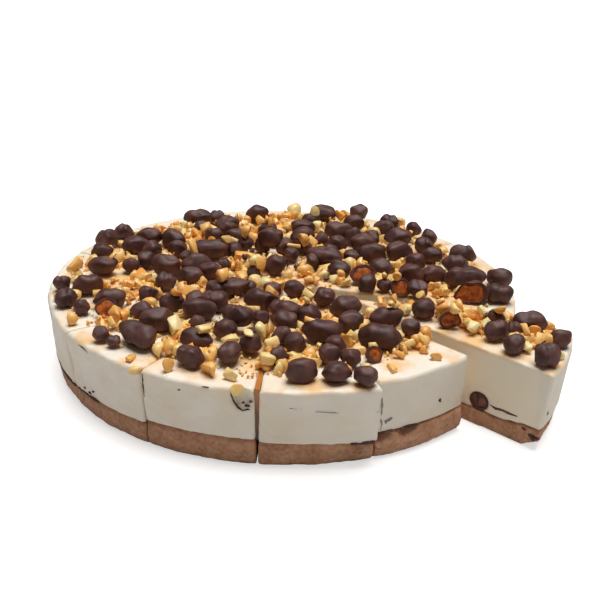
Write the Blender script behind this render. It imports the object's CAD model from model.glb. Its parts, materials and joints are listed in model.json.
"""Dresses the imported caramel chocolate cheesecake: cream, biscuit, coated caramels, peanuts and crumbs.

The places of the slices and of the coated caramels follow the same named values and the same seeded rule
as the solids. Azimuths are in degrees, from the front of the cake (-Y) towards +X. Lengths are in metres
unless a name says mm.
"""

import json
import logging
import math
import random
from collections.abc import Iterator
from contextlib import contextmanager
from dataclasses import dataclass
from enum import Enum

import bpy
import numpy as np
from bpy.types import ID, Material, Mesh, Node, NodeSocket, NodeTree, Object
from mathutils import Matrix, Vector, noise

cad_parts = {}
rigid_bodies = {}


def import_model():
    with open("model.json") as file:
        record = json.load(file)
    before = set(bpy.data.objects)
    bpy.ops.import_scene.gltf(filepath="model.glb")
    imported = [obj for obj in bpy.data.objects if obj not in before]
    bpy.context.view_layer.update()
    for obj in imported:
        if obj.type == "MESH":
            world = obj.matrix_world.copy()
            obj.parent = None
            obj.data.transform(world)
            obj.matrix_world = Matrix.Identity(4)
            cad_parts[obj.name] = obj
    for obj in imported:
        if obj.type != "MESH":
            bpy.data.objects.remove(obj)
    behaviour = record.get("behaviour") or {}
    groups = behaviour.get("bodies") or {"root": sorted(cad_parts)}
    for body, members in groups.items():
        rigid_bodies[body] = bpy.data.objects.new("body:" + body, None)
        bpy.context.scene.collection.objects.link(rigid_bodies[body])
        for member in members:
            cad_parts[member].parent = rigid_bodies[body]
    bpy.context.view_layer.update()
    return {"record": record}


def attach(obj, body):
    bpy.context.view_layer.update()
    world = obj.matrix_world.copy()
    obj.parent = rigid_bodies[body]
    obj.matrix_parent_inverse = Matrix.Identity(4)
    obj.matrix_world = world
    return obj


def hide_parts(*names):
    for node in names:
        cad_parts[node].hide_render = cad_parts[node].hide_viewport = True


LOG = logging.getLogger("cheesecake")

# Sizes that the solids have too
CAKE_RADIUS = 0.130
CAKE_HEIGHT = 0.0435
SLICE_COUNT = 14
FIRST_CUT = -4.8
SLICE_ANGLE = 360 / SLICE_COUNT
KNIFE_GAP = 0.0006
PIECE_GAP = 0.0003
DRAWN_SLICE = 3
DRAWN_OUT = 0.3 * CAKE_RADIUS
CREAM_FOOT_RADIUS = 0.978 * CAKE_RADIUS
BISCUIT_RADIUS = 0.972 * CAKE_RADIUS
BISCUIT_FOOT_RADIUS = 0.962 * CAKE_RADIUS
CREAM_FOOT_HEIGHT = 0.0135
BISCUIT_MIDDLE = 0.0085
BISCUIT_RISE_START = 0.80 * CAKE_RADIUS
BISCUIT_RISE_END = 0.90 * CAKE_RADIUS
RIM_ROUND = 0.0014
FOOT_ROUND = 0.0016
SUNK_IN_BED = 0.0005
CHOCOLATES_A_SLICE = 7
CHOCOLATES_ON_NUTTY_SLICES = {8: 3, 9: 5}
CHOCOLATE_LENGTHS = (0.010, 0.017)
FILLERS = 34
CHOCOLATE_TURNS = (-28, 22)
SEED = 27

# Sizes of the dressing alone: how far out the top holds nuts, how high a nut's top may come, how close two
# points are one, and the sharpest edge that still shades smooth on a cut caramel
BED_REACH = 0.99 * CAKE_RADIUS
HEAP_TOP = 0.0620
WELD = 1e-6
SMOOTH_EDGE = math.radians(38)

# The mount on slice 08's underside lies at this azimuth and radius of the cake, which gives the cake's axis
MOUNT_AZIMUTH = FIRST_CUT + 7.5 * SLICE_ANGLE
MOUNT_RADIUS = 0.065

# Chocolates on the cream: azimuth, radius in mm, length in mm and, for some, turn in degrees, for each slice
LOWER = {
    1: [
        (4.5, 119, 16), (12, 122, 14), (17.6, 128, 11), (17.5, 109, 10), (12.5, 104, 11), (-1, 104, 10),
        (4, 91, 11), (16.5, 93, 10), (14, 80, 20), (1, 67, 14),
    ],
    2: [(30, 95, 22), (42, 80, 18), (24, 108, 9), (43, 94, 10), (28, 73, 14), (35, 57, 18), (33, 39, 12)],
    3: [
        (50, 122, 14), (61, 120, 11), (50.5, 104, 12, 75), (67, 101, 18), (55, 90, 13), (67, 84, 9),
        (60, 96, 9), (57, 48, 13), (53, 65, 11),
    ],
    4: [
        (79, 120, 16), (90.5, 123, 15), (76, 105, 22), (88, 102, 24), (75, 76, 12), (74.5, 66.5, 11),
        (91, 85, 15), (90, 71, 16), (88, 44, 15),
    ],
    5: [
        (101.5, 103, 16), (108.5, 113, 17), (111.5, 95, 13), (121, 100, 12), (106, 80, 12), (118, 77, 18),
        (121, 60, 18), (101, 56, 14), (104, 32, 14),
    ],
    6: [(126, 112, 11), (134.5, 116, 10), (143, 113, 13), (131.5, 95, 18), (137, 70, 17)],
    7: [(156, 121, 12), (166.5, 109, 19), (153, 99, 14), (172, 79, 16), (154.5, 79, 18)],
    8: [(190, 103, 15), (187, 57, 12), (179, 40, 11)],
    9: [(204.5, 89, 17), (204, 108, 10), (211, 108, 18), (215, 92, 10), (206, 65, 16)],
    10: [
        (-114, 118, 14), (-122, 117, 12), (-123, 98, 17), (-113.5, 97, 17), (-119, 72, 12), (-126, 54, 25),
    ],
    11: [(-92, 102, 17), (-104, 110, 13), (-95, 87, 10), (-94, 66, 19), (-102, 50, 17), (-88, 41, 16)],
    12: [
        (-70, 121, 12), (-77, 108, 17), (-80, 122, 10), (-64.5, 100, 17), (-63.5, 116, 9), (-58.5, 106, 12),
        (-76, 66, 12), (-64, 79, 11), (-80, 52, 15),
    ],
    13: [
        (-39, 111, 24, -42), (-47, 121, 8), (-42.5, 120.5, 7), (-42, 93, 18), (-52, 91, 12), (-52, 73, 14),
        (-38, 69, 18),
    ],
    14: [(-25, 97.5, 17), (-13.5, 105, 14, 80), (-9, 94, 11), (-20, 81, 12), (-10, 61, 10), (-24, 62, 12)],
}

# Chocolates that lie on the ones below, listed the same way
UPPER = {
    1: [(3, 53, 15), (14, 57, 12)],
    6: [(134, 32, 22)],
    8: [(191, 42, 16)],
    13: [(-42, 56, 13), (-50, 36, 21)],
    14: [(-17, 72, 14), (-15, 41, 18)],
}

# How many of a slice's first chocolates lie clear of the heap
CLEAR_OF_HEAP = {1: 3, 2: 1, 3: 4, 4: 2, 12: 2, 13: 1, 14: 1}

# Nuts that catch the eye: azimuth, radius in mm, length in mm and tone, on the slice of that azimuth
MARKED_NUTS = [
    (-29, 109, 9.3, 0.3), (-19, 101, 8.4, 0.35), (-19, 114, 6, 0.2), (-16, 120, 9.5, 0.3),
    (-25, 124, 6.6, 0.25), (-47, 72, 9.6, 0.4), (-48, 87, 8.8, 0.8), (-36, 89, 10.8, 0.85),
    (-18, 77, 8.7, 0.3), (-7, 84, 8, 0.8), (-57, 96, 6, 0.3), (-53, 113, 10.2, 0.3), (-35, 124, 7.2, 0.25),
    (-11, 122, 7.1, 0.7), (-74, 124, 7.5, 0.35), (-98, 119, 8.3, 0.4), (-59, 124, 7.2, 0.3),
    (-113, 82, 8.5, 1), (-109, 55, 10.8, 0.3), (-101, 40, 10.5, 0.4), (-61, 56, 8.8, 0.3),
    (-131, 93, 10.8, 0.35), (-143, 96, 7.8, 0.2), (-145, 80, 10.8, 0.8), (-171, 95, 9.3, 0.3),
    (177, 116, 10.8, 0.75), (-154, 51, 10.8, 0.3), (171, 34, 8.6, 0.4), (-106, 13, 8.1, 0.3),
    (145, 63, 6.3, 0.4), (121, 44, 8.5, 0.3), (106, 69, 7.3, 0.3), (159, 113, 9.6, 0.35),
    (142, 123, 9.6, 0.4), (38, 121, 6, 0.3), (26, 118, 7.8, 0.35), (31, 109, 6.9, 0.3), (34, 107, 6, 0.5),
    (27, 83, 7.2, 0.85), (30, 62, 8, 0.3), (5, 74, 7.2, 0.3), (4, 98, 7.9, 0.75), (-1, 112, 6.7, 0.7),
    (41, 18, 10.8, 0.3), (59, 58, 7.6, 0.4), (45, 95, 7.3, 0.85), (60, 114, 9.3, 0.3),
    (55, 124, 6.1, 0.85),
]

# Small heaps of nuts: azimuth, radius in mm, reach in mm and how many
NUT_HEAPS = [
    (-78, 82, 9, 4), (-173, 75, 13, 6), (30, 35, 8, 5), (40, 109, 6, 4), (78, 89, 8, 5), (59, 73, 11, 8),
    (61, 105, 8, 5), (0, 1, 12, 10), (44, 22, 6, 4), (43.5, 36, 6, 4), (44, 50, 6, 3), (44.5, 64, 5, 3),
    (45, 78, 5, 3), (75, 36, 6, 3), (75, 56, 6, 2), (62, 46, 4, 4), (67, 52, 5, 6), (68.5, 62, 6, 7),
    (69, 74, 6, 6), (69, 88, 6, 5), (56, 60, 5, 4),
]

# Coated caramels that the knife went through, by azimuth and radius in mm, and which way the cut face looks
CUT_CARAMELS = {
    (76, 105): (-0.25, -0.90, 0.36),
    (53, 65): (-0.10, -0.93, 0.34),
    (88, 44): (0.10, -0.82, 0.56),
    (24, 108): (0.45, -0.80, 0.40),
    (-58.5, 106): (-0.15, -0.75, 0.62),
    (74.5, 66.5): (0.10, -0.82, 0.55),
}

# Lumps in the outer side: azimuth, height in mm, length and height of the lump in mm
SIDE_CRUMBS = [
    (-50.3, 16.8, 3.6, 2.2), (-48.2, 15.6, 2.8, 1.6), (-46.8, 17.6, 2.2, 1.3), (38.0, 23.6, 3.8, 2.4),
    (-21.0, 38.4, 2.6, 1.3), (49.0, 20.5, 3.0, 5.4), (-6.6, 34.8, 2.6, 1.8), (-5.8, 37.2, 2.0, 1.4),
    (-7.4, 36.4, 1.4, 1.2),
]
SIDE_NUTS = [(-8.7, 43.4, 6.6, 6.4), (-31.6, 42.2, 7.4, 5.4)]

# Lines on the outer side: width in mm, then azimuth and height in mm of each point of the line
DARK_LINES = [
    (1.0, [(-9.9, 42.6), (-9.8, 39.5), (-9.3, 36.4), (-8.5, 33.4), (-7.5, 31.8), (-6.4, 32.8), (-5.6, 32.6)]),
    (0.7, [(-16.0, 42.4), (-14.8, 42.3), (-13.4, 41.6)]),
    (1.8, [(-74.0, 12.4), (-66.0, 12.2), (-60.0, 12.0), (-55.5, 12.4)]),
    (1.8, [(-54.0, 13.2), (-50.5, 13.6), (-47.0, 13.0), (-45.0, 13.2)]),
    (0.8, [(-50.3, 41.6), (-48.2, 41.5), (-46.2, 40.4)]),
    (2.4, [(14.8, 13.9), (17.0, 13.8), (19.8, 13.8), (21.0, 14.0), (23.0, 14.2), (25.2, 14.4)]),
    (2.0, [(27.3, 14.0), (29.2, 14.2), (31.9, 14.0)]),
    (0.8, [(-29.9, 42.0), (-30.0, 36.0), (-29.9, 29.0)]),
]
FAINT_LINES = [
    (0.5, [(1.7, 34.8), (2.8, 34.7), (4.2, 34.5)]),
    (0.5, [(7.0, 33.0), (10.0, 32.4), (14.0, 31.8), (20.0, 30.8)]),
    (4.6, [(20.9, 19.8), (22.4, 20.6), (24.8, 21.8)]),
    (1.1, [(20.4, 38.5), (20.6, 34.0), (20.7, 28.6)]),
]

# Lines in the drawn slice's first cut face, by radius and height in mm
FACE_LINES = [
    (1.5, [(98.0, 14.6), (101.0, 13.8), (105.0, 14.4), (109.0, 14.2), (114.0, 14.4)]),
    (3.0, [(121.0, 7.4), (124.0, 6.4), (127.0, 7.0)]),
    (1.8, [(117.0, 9.6), (119.5, 8.8)]),
]


class Cut(Enum):
    """How a peanut was chopped."""

    BLOCK = "block"
    HALF = "half"
    SPLINTER = "splinter"


def srgb(code: str) -> tuple[float, float, float, float]:
    """Turns an sRGB hex colour, such as "#F0B070", into linear RGBA.

    Args:
        code: The colour.

    Returns:
        Linear red, green and blue, and an alpha of 1.
    """
    values = [int(code[place : place + 2], 16) / 255 for place in (1, 3, 5)]
    linear = [v / 12.92 if v <= 0.04045 else ((v + 0.055) / 1.055) ** 2.4 for v in values]
    return (*linear, 1.0)


def feed(tree: NodeTree, node: Node, inputs: dict) -> None:
    """Links or sets a node's inputs.

    Args:
        tree: The node's tree.
        node: The node.
        inputs: Socket name or number to a value, or to the output socket that feeds it.
    """
    for socket, value in inputs.items():
        if isinstance(value, NodeSocket):
            tree.links.new(value, node.inputs[socket])
        else:
            node.inputs[socket].default_value = value


def add_node(tree: NodeTree, kind: str, inputs: dict | None = None, stops: tuple = (), **settings) -> Node:
    """Adds a node with its settings, and links or sets its inputs.

    Args:
        tree: The tree that takes the node.
        kind: The node's type.
        inputs: What its sockets are fed with.
        stops: Places and hex colours of a colour ramp.
        **settings: Properties of the node.

    Returns:
        The new node.
    """
    node = tree.nodes.new(kind)
    for name, value in settings.items():
        setattr(node, name, value)
    feed(tree, node, inputs or {})
    if stops:
        elements = node.color_ramp.elements
        while len(elements) < len(stops):
            elements.new(0.5)
        for element, (place, code) in zip(elements, stops):
            element.position = place
            element.color = srgb(code)
    return node


def polar(azimuth: float, radius: float, height: float = 0.0) -> Vector:
    """A point at an azimuth and radius from the uncut cake's axis."""
    angle = math.radians(azimuth)
    return Vector((radius * math.sin(angle), -radius * math.cos(angle), height))


def deselect_all() -> None:
    """Leaves nothing selected, since an operator acts on all that is selected."""
    if bpy.context.object and bpy.context.object.mode != "OBJECT":
        bpy.ops.object.mode_set(mode="OBJECT")
    bpy.ops.object.select_all(action="DESELECT")


def select_only(obj: Object) -> None:
    """Makes one object the only one selected, and the active one.

    Args:
        obj: The object.
    """
    deselect_all()
    obj.select_set(True)
    bpy.context.view_layer.objects.active = obj


def link_new(name: str, data: ID) -> Object:
    """Makes an object of a mesh, lamp or camera, and links it to the scene.

    Args:
        name: The object's name.
        data: Its mesh, lamp or camera.

    Returns:
        The object.
    """
    obj = bpy.data.objects.new(name, data)
    bpy.context.scene.collection.objects.link(obj)
    return obj


@contextmanager
def editing() -> Iterator[None]:
    """Opens the active mesh with all of it selected. When it closes, its faces look outwards.

    Yields:
        Nothing, while the mesh is open.
    """
    bpy.ops.object.mode_set(mode="EDIT")
    bpy.ops.mesh.select_all(action="SELECT")
    yield
    bpy.ops.mesh.select_all(action="SELECT")
    bpy.ops.mesh.normals_make_consistent(inside=False)
    bpy.ops.object.mode_set(mode="OBJECT")


def apply_modifier(obj: Object, kind: str, **settings) -> None:
    """Adds a modifier of this type with its settings, and applies it to the mesh.

    Args:
        obj: The piece.
        kind: The modifier's type.
        **settings: Its properties.
    """
    select_only(obj)
    modifier = obj.modifiers.new(kind.title(), kind)
    for name, value in settings.items():
        setattr(modifier, name, value)
    bpy.ops.object.modifier_apply(modifier=modifier.name)


def dress(obj: Object, *finishes: Material) -> None:
    """Gives a piece these materials and no others.

    Args:
        obj: The piece.
        *finishes: Its materials.
    """
    obj.data.materials.clear()
    for finish in finishes:
        obj.data.materials.append(finish)


def points_of(mesh: Mesh) -> np.ndarray:
    """All vertex positions of a mesh, one row each.

    Args:
        mesh: The mesh.

    Returns:
        The positions.
    """
    flat = np.empty(len(mesh.vertices) * 3)
    mesh.vertices.foreach_get("co", flat)
    return flat.reshape(-1, 3)


def set_points(mesh: Mesh, points: np.ndarray) -> None:
    """Writes vertex positions back to a mesh."""
    mesh.vertices.foreach_set("co", np.ascontiguousarray(points, float).ravel())
    mesh.update()


def write_attribute(mesh: Mesh, name: str, values: np.ndarray, domain: str = "POINT") -> None:
    """Stores one number for each point or face, which a material reads."""
    attribute = mesh.attributes.new(name, "FLOAT", domain)
    attribute.data.foreach_set("value", np.asarray(values, np.float32))


def share_between(values: np.ndarray, start: float, width: float) -> np.ndarray:
    """How far each value is into a band that starts here and is this wide, from 0 to 1."""
    return np.clip((values - start) / width, 0, 1)


@dataclass
class Slice:
    """One cut slice: its layers' sizes, how far each side reaches, and how far its cuts stand open."""

    number: int
    biscuit: float = 0.0132
    reach_start: float = 1.0
    reach_end: float = 1.0
    base_start: float = 1.0
    base_end: float = 1.0
    foot_reach: float = 1.0
    bed_start: float = 0.90
    bed_end: float = 0.90
    open_start: float = 0.0
    open_end: float = 0.0

    @property
    def start(self) -> float:
        """The azimuth of the slice's first cut."""
        return FIRST_CUT + (self.number - 1) * SLICE_ANGLE

    @property
    def middle(self) -> float:
        """The azimuth of the slice's middle."""
        return self.start + SLICE_ANGLE / 2

    @property
    def shift(self) -> Vector:
        """How far the knife's gap, or being drawn out, moves the slice from the cake's axis.

        Returns:
            The way and the distance.
        """
        outwards = KNIFE_GAP / 2 / math.sin(math.radians(SLICE_ANGLE / 2))
        if self.number == DRAWN_SLICE:
            outwards += DRAWN_OUT
        return polar(self.middle, outwards)


@dataclass
class Chocolate:
    """One coated caramel, lying on its slice at an azimuth and radius of the uncut cake."""

    slice: Slice
    azimuth: float
    radius: float
    length: float
    width: float
    height: float
    turn: float
    lift: float = 0.0
    clear: bool = False

    @property
    def foot(self) -> Vector:
        """The lowest point under the caramel's middle, from the cake's axis."""
        sunk = 0.0 if self.clear else SUNK_IN_BED
        return polar(self.azimuth, self.radius, CAKE_HEIGHT + PIECE_GAP + sunk + self.lift) + self.slice.shift


class CakePlan:
    """The cake's slices and coated caramels, at the places that the solids have."""

    def __init__(self, axis: Vector) -> None:
        """Keeps the cake's axis and works out every slice and caramel.

        Args:
            axis: The foot of the uncut cake's axis in the row's frame.
        """
        self.axis = axis
        self.slices = self.slice_list()
        self.chocolates = self.plan_chocolates()

    @staticmethod
    def slice_list() -> list[Slice]:
        """The fourteen slices, with the front ones as uneven as they were cut and drawn.

        Returns:
            The slices in order.
        """
        slices = [Slice(number) for number in range(1, SLICE_COUNT + 1)]
        uneven = {
            1: dict(
                biscuit=0.0138, reach_end=1.03, open_start=0.45, open_end=0.4, bed_start=0.88, bed_end=0.95
            ),
            2: dict(
                biscuit=0.0134, reach_start=0.98, reach_end=0.985, open_end=0.8, bed_start=0.86, bed_end=0.84
            ),
            3: dict(
                biscuit=0.0108, reach_end=0.945, base_end=0.94, foot_reach=0.96, bed_start=0.94, bed_end=0.89
            ),
            4: dict(biscuit=0.0128, bed_start=0.93, bed_end=0.93),
            11: dict(biscuit=0.0122, bed_start=0.92, bed_end=0.95),
            12: dict(biscuit=0.0118, bed_start=0.95, bed_end=0.93),
            13: dict(biscuit=0.0128, bed_start=0.93, bed_end=0.90),
            14: dict(biscuit=0.0150, open_end=0.45, bed_start=0.86, bed_end=0.92),
        }
        for number, traits in uneven.items():
            slices[number - 1] = Slice(number, **traits)
        return slices

    @staticmethod
    def chocolate_sizes(length: float, draw: random.Random) -> tuple[float, float]:
        """Width and height of a coated caramel of this length. Long ones are slimmer for their length."""
        width = min(0.95 * length, 0.0085 + 0.22 * length) * draw.uniform(0.95, 1.05)
        return width, width * draw.uniform(0.90, 1.02)

    def plan_chocolates(self) -> list[Chocolate]:
        """Places every chocolate by the solids' rule: the listed ones, then more on each slice.

        Returns:
            The coated caramels, lowest ones first.
        """
        draw = random.Random(SEED)
        plan = []
        for piece in self.slices:
            for order, (azimuth, radius, length, *turned) in enumerate(LOWER[piece.number]):
                found = self.listed(piece, azimuth, radius, length, draw)
                if turned:
                    found.turn = turned[0]
                found.clear = order < CLEAR_OF_HEAP.get(piece.number, 0)
                plan.append(found)
            most = CHOCOLATES_ON_NUTTY_SLICES.get(piece.number, CHOCOLATES_A_SLICE)
            for _ in range(60):
                length = draw.uniform(*CHOCOLATE_LENGTHS)
                width, height = self.chocolate_sizes(length, draw)
                azimuth = piece.start + draw.uniform(0.16, 0.84) * SLICE_ANGLE
                radius = CAKE_RADIUS * math.sqrt(draw.uniform(0.05, 0.80))
                turn = draw.uniform(0, 180)
                found = Chocolate(piece, azimuth, radius, length, width, height, turn)
                count = sum(1 for other in plan if other.slice is piece)
                if count < most and all(self.apart(found, other) > 0.95 for other in plan):
                    plan.append(found)
        below = list(plan)
        fillers = self.plan_fillers(plan)
        for piece in self.slices:
            for azimuth, radius, length in UPPER.get(piece.number, []):
                found = self.listed(piece, azimuth, radius, length, draw)
                found.lift = max(self.resting_lift(found, other) for other in below)
                plan.append(found)
        return plan + fillers

    def listed(
        self, piece: Slice, azimuth: float, radius_mm: float, length_mm: float, draw: random.Random
    ) -> Chocolate:
        """One of the listed chocolates, with its other sizes and its turn drawn.

        Args:
            piece: Its slice.
            azimuth: Its azimuth.
            radius_mm: Its radius.
            length_mm: Its length.
            draw: The seeded source of variation.

        Returns:
            The chocolate.
        """
        width, height = self.chocolate_sizes(length_mm / 1000, draw)
        turn = draw.uniform(*CHOCOLATE_TURNS)
        return Chocolate(piece, azimuth, radius_mm / 1000, length_mm / 1000, width, height, turn)

    def plan_fillers(self, plan: list[Chocolate]) -> list[Chocolate]:
        """Places the smaller caramels in the middle of the heaps, between those that have their places.

        Args:
            plan: The caramels that have their places.

        Returns:
            The smaller ones, on the cream.
        """
        draw = random.Random(SEED + 1)
        fillers = []
        for _ in range(4000):
            length = draw.uniform(0.0085, 0.0135)
            width, height = self.chocolate_sizes(length, draw)
            piece = self.slices[draw.randrange(SLICE_COUNT)]
            azimuth = piece.start + draw.uniform(0.05, 0.95) * SLICE_ANGLE
            radius = CAKE_RADIUS * math.sqrt(draw.uniform(0.006, 0.42))
            found = Chocolate(piece, azimuth, radius, length, width, height, draw.uniform(0, 180))
            clear = all(self.apart(found, other) > 0.84 for other in plan + fillers)
            if clear and piece.number != DRAWN_SLICE and len(fillers) < FILLERS:
                fillers.append(found)
        return fillers

    @staticmethod
    def apart(one: Chocolate, other: Chocolate) -> float:
        """How far two chocolates lie apart in plan, as a share of their mean half sizes added up."""
        distance = (one.foot - other.foot).xy.length
        return distance / ((one.length + one.width + other.length + other.width) / 4)

    def resting_lift(self, upper: Chocolate, lower: Chocolate) -> float:
        """How high a chocolate is held by one below it, if they overlap in plan."""
        overlap = 1.0 - min(1.0, self.apart(upper, lower))
        return 0.92 * lower.height * math.sqrt(overlap)


class Paint:
    """A material in the making. Its patterns follow the piece's own coordinates."""

    def __init__(self, name: str) -> None:
        """Starts an empty node material of this name.

        Args:
            name: The material's name.
        """
        self.material = bpy.data.materials.new(name)
        self.material.use_nodes = True
        self.tree = self.material.node_tree
        self.shader = self.tree.nodes["Principled BSDF"]
        self.where = add_node(self.tree, "ShaderNodeTexCoord").outputs["Object"]

    def noise(self, size_mm: float, detail: float, where: NodeSocket | None = None) -> NodeSocket:
        """Noise whose marks are this many millimetres wide.

        Args:
            size_mm: How wide a mark is.
            detail: How fine the noise is.
            where: Coordinates, if stretched.

        Returns:
            The noise.
        """
        where = self.where if where is None else where
        inputs = {"Vector": where, "Scale": 1000.0 / size_mm, "Detail": detail}
        return add_node(self.tree, "ShaderNodeTexNoise", inputs).outputs["Fac"]

    def stretched(self, *scale: float) -> NodeSocket:
        """The coordinates times a factor along X, Y and Z, for marks that run one way."""
        inputs = {"Vector": self.where, "Scale": scale}
        return add_node(self.tree, "ShaderNodeMapping", inputs).outputs["Vector"]

    def carried(self, name: str) -> NodeSocket:
        """The number of this name that the mesh carries."""
        return add_node(self.tree, "ShaderNodeAttribute", attribute_name=name).outputs["Fac"]

    def between(self, value: NodeSocket, low: float, high: float) -> NodeSocket:
        """How far a value lies between two others, from 0 to 1."""
        inputs = {"Value": value, "From Min": low, "From Max": high}
        return add_node(self.tree, "ShaderNodeMapRange", inputs).outputs["Result"]

    def rise(self, low: float, high: float) -> NodeSocket:
        """How far up between two heights, from 0 to 1."""
        parts = add_node(self.tree, "ShaderNodeSeparateXYZ", {"Vector": self.where})
        return self.between(parts.outputs["Z"], low, high)

    def ramp(self, factor: NodeSocket, *stops: tuple[float, str]) -> NodeSocket:
        """The colour at a factor, by the places and hex colours of some stops."""
        return add_node(self.tree, "ShaderNodeValToRGB", {"Fac": factor}, stops).outputs["Color"]

    def mix(self, share: float, first: NodeSocket, second: NodeSocket) -> NodeSocket:
        """A mixture of two numbers, with this share of the second."""
        inputs = {0: share, 2: first, 3: second}
        return add_node(self.tree, "ShaderNodeMix", inputs, data_type="FLOAT").outputs[0]

    def tint(self, share: NodeSocket, colour: NodeSocket, code: str) -> NodeSocket:
        """A colour with this share of a hex colour."""
        inputs = {0: share, 6: colour, 7: srgb(code)}
        return add_node(self.tree, "ShaderNodeMix", inputs, data_type="RGBA").outputs[2]

    def maths(self, operation: str, *values: NodeSocket | float) -> NodeSocket:
        """A number worked out from others."""
        inputs = dict(enumerate(values))
        return add_node(self.tree, "ShaderNodeMath", inputs, operation=operation).outputs["Value"]

    def bump(self, height: NodeSocket, strength: float, distance: float) -> NodeSocket:
        """The normal of a relief this deep, in metres."""
        inputs = {"Height": height, "Strength": strength, "Distance": distance}
        return add_node(self.tree, "ShaderNodeBump", inputs).outputs["Normal"]

    def finish(self, inputs: dict) -> Material:
        """The material, with its shader fed."""
        feed(self.tree, self.shader, inputs)
        return self.material


@dataclass(frozen=True)
class SetCream:
    """Set cheese cream, poured into a tin and cut with a wet knife: dense, matte, a little translucent."""

    pale: str = "#F4EADB"
    warm: str = "#EFE0C9"
    cut_face: str = "#FFEFD6"
    tinted: str = "#EFC48C"
    cloud_mm: float = 22.0
    patch_mm: float = 13.0
    grain_mm: float = 0.7
    streak_mm: float = 1.1
    roughness: float = 0.48
    glow: float = 0.22

    def build(self) -> Material:
        """Makes the cream, with warmer cut faces, slow clouds of colour, fine pores and level marks.

        Returns:
            The material.
        """
        paint = Paint("set cheese cream")
        body = paint.ramp(paint.noise(self.cloud_mm, 4.0), (0.35, self.warm), (0.62, self.pale))
        tint = paint.tint(paint.carried("cut"), body, self.cut_face)
        # Caramel and nut oil have coloured the top in places
        near = paint.maths("MULTIPLY_ADD", paint.carried("heap"), 0.15, paint.noise(self.patch_mm, 3.0))
        amount = paint.maths("MULTIPLY", paint.rise(0.0412, 0.0432), paint.between(near, 0.47, 0.68))
        # The tin's lining leaves level lines, and a knife drags the cream the same way
        streak = paint.noise(self.streak_mm, 3.0, paint.stretched(0.10, 0.10, 1.0))
        relief = paint.mix(0.35, streak, paint.noise(self.grain_mm, 2.0))
        return paint.finish(
            {
                "Base Color": paint.tint(amount, tint, self.tinted),
                "Normal": paint.bump(relief, 0.30, 0.0006),
                "Roughness": self.roughness,
                "Subsurface Weight": self.glow,
                "Subsurface Radius": (1.0, 0.62, 0.34),
                "Subsurface Scale": 0.003,
            }
        )


@dataclass(frozen=True)
class BiscuitCrumb:
    """Crushed biscuit pressed with butter: a dull brown mass of light and dark crumbs with small pits."""

    light: str = "#DAA987"
    middle: str = "#C99473"
    dark: str = "#AD7A5B"
    crumb_mm: float = 1.7
    cloud_mm: float = 9.0
    pit_mm: float = 0.8
    roughness: float = 0.86

    def build(self) -> Material:
        """Makes the biscuit, whose crumbs differ in colour and stand out a little.

        Returns:
            The material.
        """
        paint = Paint("pressed biscuit crumb")
        inputs = {"Vector": paint.where, "Scale": 1000.0 / self.crumb_mm}
        crumbs = add_node(paint.tree, "ShaderNodeTexVoronoi", inputs, feature="F1")
        shade = add_node(paint.tree, "ShaderNodeSeparateColor", {"Color": crumbs.outputs["Color"]})
        blend = paint.mix(0.72, shade.outputs["Red"], paint.noise(self.cloud_mm, 5.0))
        relief = paint.mix(0.5, crumbs.outputs["Distance"], paint.noise(self.pit_mm, 3.0))
        return paint.finish(
            {
                "Base Color": paint.ramp(blend, (0.25, self.dark), (0.5, self.middle), (0.78, self.light)),
                "Normal": paint.bump(relief, 0.55, 0.0008),
                "Roughness": self.roughness,
            }
        )


@dataclass(frozen=True)
class MilkChocolate:
    """Milk chocolate panned around caramel: satin, dark brown with a slight red bloom, softly dimpled."""

    name: str = "panned milk chocolate"
    deep: str = "#44241F"
    bloom: str = "#6C433A"
    cloud_mm: float = 7.0
    dimple_mm: float = 4.5
    roughness: float = 0.56

    def build(self) -> Material:
        """Makes the chocolate coating, with faint bloom and shallow dimples from the pan.

        Returns:
            The material.
        """
        paint = Paint(self.name)
        cloud = paint.noise(self.cloud_mm, 4.0)
        return paint.finish(
            {
                "Base Color": paint.ramp(cloud, (0.38, self.deep), (0.70, self.bloom)),
                "Normal": paint.bump(paint.noise(self.dimple_mm, 1.5), 0.18, 0.0012),
                "Roughness": self.roughness,
                "Specular IOR Level": 0.48,
            }
        )


@dataclass(frozen=True)
class SoftCaramel:
    """Soft caramel, cut through: glossy amber that darkens to red-brown where it is thick."""

    name: str = "soft caramel"
    amber: str = "#C9702A"
    deep: str = "#7E2F12"
    roughness: float = 0.32
    thread_mm: float = 3.2
    glow: float = 0.3

    def build(self) -> Material:
        """Makes the caramel, wet and streaked with darker threads.

        Returns:
            The material.
        """
        paint = Paint(self.name)
        thread = paint.noise(self.thread_mm, 3.0)
        return paint.finish(
            {
                "Base Color": paint.ramp(thread, (0.38, self.deep), (0.62, self.amber)),
                "Normal": paint.bump(thread, 0.4, 0.001),
                "Roughness": self.roughness,
                "Subsurface Weight": self.glow,
                "Subsurface Radius": (1.0, 0.35, 0.1),
                "Subsurface Scale": 0.002,
                "Coat Weight": 0.1,
            }
        )


@dataclass(frozen=True)
class RunCaramel:
    """Caramel run into a cut: amber at the top where light comes through, deep brown where it is shut in."""

    top: str = "#BC7634"
    middle: str = "#7E401A"
    foot: str = "#32180C"
    thread_mm: float = 2.0
    roughness: float = 0.22

    def build(self) -> Material:
        """Makes the caramel, darker downwards and streaked the way it ran.

        Returns:
            The material.
        """
        paint = Paint("run caramel")
        thread = paint.noise(self.thread_mm, 2.0, paint.stretched(1.0, 1.0, 0.15))
        blend = paint.mix(0.22, paint.rise(0.015, CAKE_HEIGHT), thread)
        return paint.finish(
            {
                "Base Color": paint.ramp(blend, (0.18, self.foot), (0.50, self.middle), (0.82, self.top)),
                "Roughness": self.roughness,
                "Coat Weight": 0.3,
            }
        )


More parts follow.
